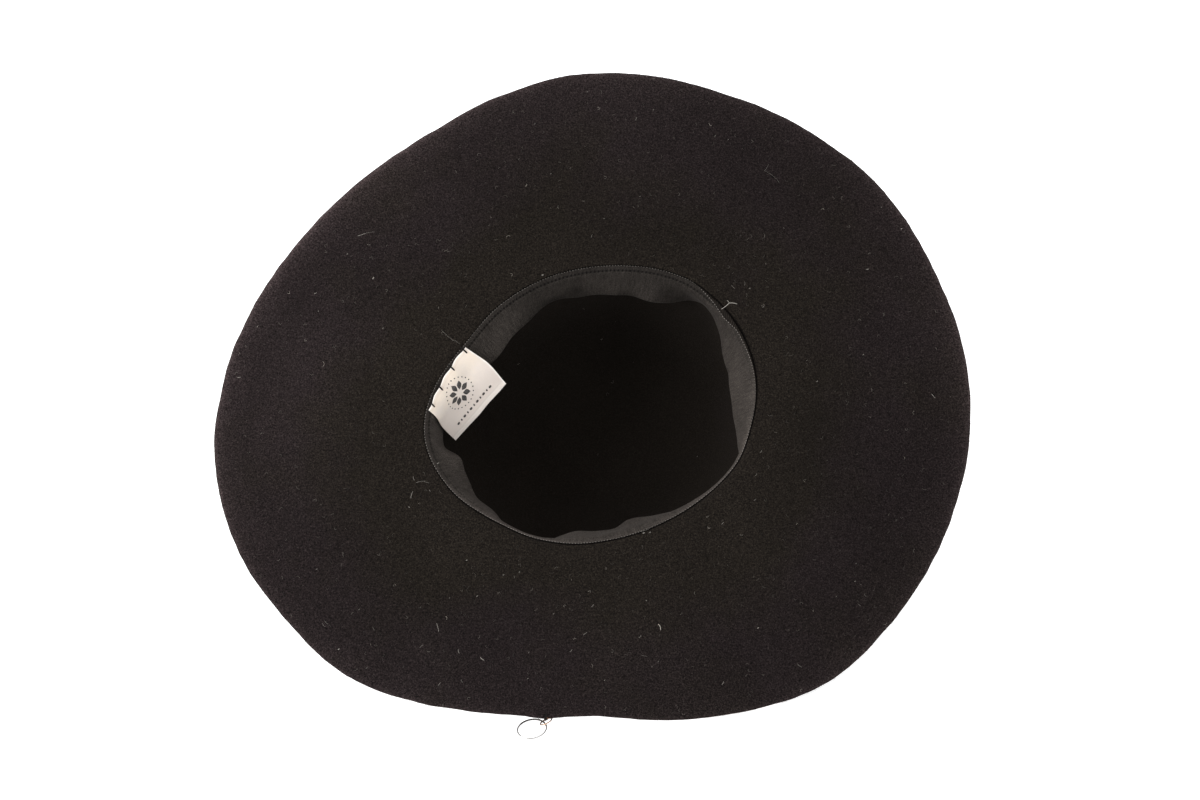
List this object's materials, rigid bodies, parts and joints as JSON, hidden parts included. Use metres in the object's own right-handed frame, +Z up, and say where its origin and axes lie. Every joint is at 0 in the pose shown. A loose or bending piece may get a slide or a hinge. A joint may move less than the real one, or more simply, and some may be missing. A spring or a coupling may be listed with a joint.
{
  "type": "wide-brimmed wool felt hat",
  "caption": "Wide-brimmed felt hat lying upside down on its crown, with an open head hollow, a ribbon sweatband, a sewn-in cloth label and a small wire hoop at the brim's edge.",
  "frame": {"origin": "on the table, in the flat patch that the crown of the upturned hat rests on", "axes": "+Z up from the table; -Y towards the low edge of the tipped brim, which also touches the table; +X to the right when seen from -Y"},
  "size_m": [0.4695, 0.3588, 0.2478],
  "materials": {
    "felt": "black wool felt, brushed, matt",
    "grosgrain": "black ribbed ribbon, low sheen",
    "label_cloth": "cream woven tape with a bright selvedge",
    "gold_tone_wire": "polished gold tone",
    "silver_tone_wire": "polished silver tone"
  },
  "bodies": {
    "root": {"felt_body": "felt", "sweatband": "grosgrain", "inner_label": "label_cloth", "jump_ring": "gold_tone_wire", "edge_hoop": "silver_tone_wire"}
  },
  "joints": []
}
